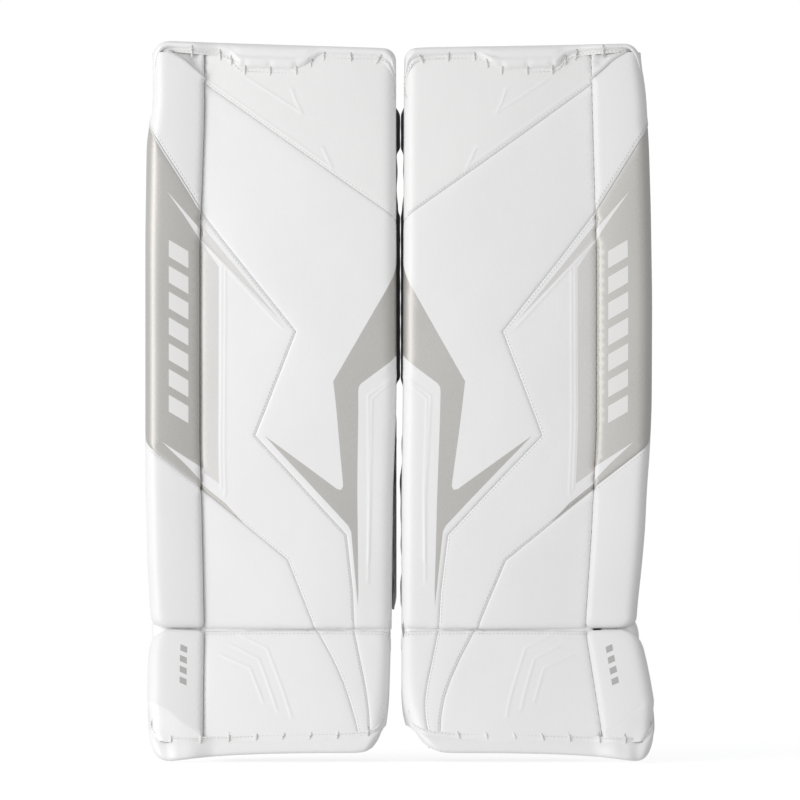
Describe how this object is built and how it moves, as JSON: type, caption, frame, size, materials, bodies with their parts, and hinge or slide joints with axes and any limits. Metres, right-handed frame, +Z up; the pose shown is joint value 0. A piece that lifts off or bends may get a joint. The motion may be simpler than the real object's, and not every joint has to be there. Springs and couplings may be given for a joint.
{
  "type": "goalie leg pads",
  "caption": "Pair of padded hockey goalie leg pads with outer rolls, hinged boots, knee and calf padding, folding wings and straps.",
  "frame": {"origin": "centre of the pair's footprint on the ice, at the height of the toe edges and boot wings' feet", "axes": "+X towards the left pad (the viewer's right from the front), -Y the way the padded faces look, +Z up along the legs"},
  "size_m": [0.5722, 0.2302, 0.8111],
  "materials": {
    "white_leather": "satin",
    "silver_leather": "satin",
    "core_foam": "matte",
    "stack_foam": "matte",
    "lining_nylon": "matte",
    "webbing": "matte",
    "tab_rubber": "matte",
    "lace": "matte"
  },
  "bodies": {
    "right_shin": {"right_shin_core": "core_foam", "right_face_cover": "white_leather", "right_roll_core": "core_foam", "right_roll_cover": "silver_leather", "right_back_panel": "lining_nylon", "right_top_binding": "white_leather", "right_top_laces": "lace", "right_knee_slide_block": "white_leather", "right_knee_stack_foam": "stack_foam", "right_knee_pad": "stack_foam", "right_calf_wedge": "stack_foam", "right_leg_channel_pad": "lining_nylon", "right_inner_gusset": "lining_nylon"},
    "right_boot": {"right_boot_core": "core_foam", "right_boot_cover": "white_leather", "right_boot_roll_core": "core_foam", "right_boot_roll_cover": "white_leather", "right_toe_binding": "white_leather", "right_toe_laces": "lace"},
    "right_calf_wing": {"right_calf_wing": "white_leather"},
    "right_calf_strap": {"right_calf_strap": "webbing", "right_calf_strap_tab": "tab_rubber"},
    "right_knee_wing": {"right_knee_wing": "white_leather"},
    "right_knee_strap": {"right_knee_strap": "webbing", "right_knee_strap_tab": "tab_rubber"},
    "right_boot_outer_wing": {"right_boot_outer_wing": "white_leather"},
    "right_boot_inner_wing": {"right_boot_inner_wing": "white_leather"},
    "right_boot_strap": {"right_boot_strap": "webbing", "right_boot_strap_tab": "tab_rubber"},
    "right_toe_bridge": {"right_toe_bridge": "webbing"},
    "left_shin": {"left_shin_core": "core_foam", "left_face_cover": "white_leather", "left_roll_core": "core_foam", "left_roll_cover": "silver_leather", "left_back_panel": "lining_nylon", "left_top_binding": "white_leather", "left_top_laces": "lace", "left_knee_slide_block": "white_leather", "left_knee_stack_foam": "stack_foam", "left_knee_pad": "stack_foam", "left_calf_wedge": "stack_foam", "left_leg_channel_pad": "lining_nylon", "left_inner_gusset": "lining_nylon"},
    "left_boot": {"left_boot_core": "core_foam", "left_boot_cover": "white_leather", "left_boot_roll_core": "core_foam", "left_boot_roll_cover": "white_leather", "left_toe_binding": "white_leather", "left_toe_laces": "lace"},
    "left_calf_wing": {"left_calf_wing": "white_leather"},
    "left_calf_strap": {"left_calf_strap": "webbing", "left_calf_strap_tab": "tab_rubber"},
    "left_knee_wing": {"left_knee_wing": "white_leather"},
    "left_knee_strap": {"left_knee_strap": "webbing", "left_knee_strap_tab": "tab_rubber"},
    "left_boot_outer_wing": {"left_boot_outer_wing": "white_leather"},
    "left_boot_inner_wing": {"left_boot_inner_wing": "white_leather"},
    "left_boot_strap": {"left_boot_strap": "webbing", "left_boot_strap_tab": "tab_rubber"},
    "left_toe_bridge": {"left_toe_bridge": "webbing"}
  },
  "joints": [
    {"name": "right_boot_flex", "type": "hinge", "parent": "right_shin", "child": "right_boot", "pos_m": [-0.14, -0.04275, 0.148], "axis": [1, 0, 0], "range_deg": [-15, 20], "stiffness_Nm_per_rad": 60},
    {"name": "right_calf_wing_fold", "type": "hinge", "parent": "right_shin", "child": "right_calf_wing", "pos_m": [-0.211, 0.00295, 0.289], "axis": [0, 0, 1], "range_deg": [0, 60], "stiffness_Nm_per_rad": 2},
    {"name": "right_calf_strap_open", "type": "hinge", "parent": "right_calf_wing", "child": "right_calf_strap", "pos_m": [-0.205, 0.09975, 0.287], "axis": [0, 0, 1], "range_deg": [0, 120]},
    {"name": "right_knee_wing_fold", "type": "hinge", "parent": "right_shin", "child": "right_knee_wing", "pos_m": [-0.211, 0.00295, 0.489], "axis": [0, 0, 1], "range_deg": [0, 60], "stiffness_Nm_per_rad": 2},
    {"name": "right_knee_strap_open", "type": "hinge", "parent": "right_knee_wing", "child": "right_knee_strap", "pos_m": [-0.205, 0.08575, 0.493], "axis": [0, 0, 1], "range_deg": [0, 120]},
    {"name": "right_boot_outer_wing_fold", "type": "hinge", "parent": "right_boot", "child": "right_boot_outer_wing", "pos_m": [-0.209, -0.06141, 0], "axis": [0, 0.4226, 0.9063], "range_deg": [0, 40], "stiffness_Nm_per_rad": 2},
    {"name": "right_boot_strap_open", "type": "hinge", "parent": "right_boot_outer_wing", "child": "right_boot_strap", "pos_m": [-0.204, 0.05475, 0.073], "axis": [0, 0, 1], "range_deg": [0, 110]},
    {"name": "right_boot_inner_wing_fold", "type": "hinge", "parent": "right_boot", "child": "right_boot_inner_wing", "pos_m": [-0.038, -0.06141, 0], "axis": [0, 0.4226, 0.9063], "range_deg": [0, 35], "stiffness_Nm_per_rad": 2},
    {"name": "right_toe_bridge_flap", "type": "hinge", "parent": "right_boot", "child": "right_toe_bridge", "pos_m": [-0.115, -0.03875, 0.038], "axis": [1, 0, 0], "range_deg": [0, 60]},
    {"name": "left_boot_flex", "type": "hinge", "parent": "left_shin", "child": "left_boot", "pos_m": [0.14, -0.04275, 0.148], "axis": [1, 0, 0], "range_deg": [-15, 20], "stiffness_Nm_per_rad": 60},
    {"name": "left_calf_wing_fold", "type": "hinge", "parent": "left_shin", "child": "left_calf_wing", "pos_m": [0.211, 0.00295, 0.289], "axis": [0, 0, -1], "range_deg": [0, 60], "stiffness_Nm_per_rad": 2},
    {"name": "left_calf_strap_open", "type": "hinge", "parent": "left_calf_wing", "child": "left_calf_strap", "pos_m": [0.205, 0.09975, 0.287], "axis": [0, 0, -1], "range_deg": [0, 120]},
    {"name": "left_knee_wing_fold", "type": "hinge", "parent": "left_shin", "child": "left_knee_wing", "pos_m": [0.211, 0.00295, 0.489], "axis": [0, 0, -1], "range_deg": [0, 60], "stiffness_Nm_per_rad": 2},
    {"name": "left_knee_strap_open", "type": "hinge", "parent": "left_knee_wing", "child": "left_knee_strap", "pos_m": [0.205, 0.08575, 0.493], "axis": [0, 0, -1], "range_deg": [0, 120]},
    {"name": "left_boot_outer_wing_fold", "type": "hinge", "parent": "left_boot", "child": "left_boot_outer_wing", "pos_m": [0.209, -0.06141, 0], "axis": [0, -0.4226, -0.9063], "range_deg": [0, 40], "stiffness_Nm_per_rad": 2},
    {"name": "left_boot_strap_open", "type": "hinge", "parent": "left_boot_outer_wing", "child": "left_boot_strap", "pos_m": [0.204, 0.05475, 0.073], "axis": [0, 0, -1], "range_deg": [0, 110]},
    {"name": "left_boot_inner_wing_fold", "type": "hinge", "parent": "left_boot", "child": "left_boot_inner_wing", "pos_m": [0.038, -0.06141, 0], "axis": [0, -0.4226, -0.9063], "range_deg": [0, 35], "stiffness_Nm_per_rad": 2},
    {"name": "left_toe_bridge_flap", "type": "hinge", "parent": "left_boot", "child": "left_toe_bridge", "pos_m": [0.115, -0.03875, 0.038], "axis": [1, 0, 0], "range_deg": [0, 60]},
    {"name": "pads_apart", "type": "slide", "parent": "right_shin", "child": "left_shin", "axis": [1, 0, 0], "range_m": [0, 0.35]}
  ]
}
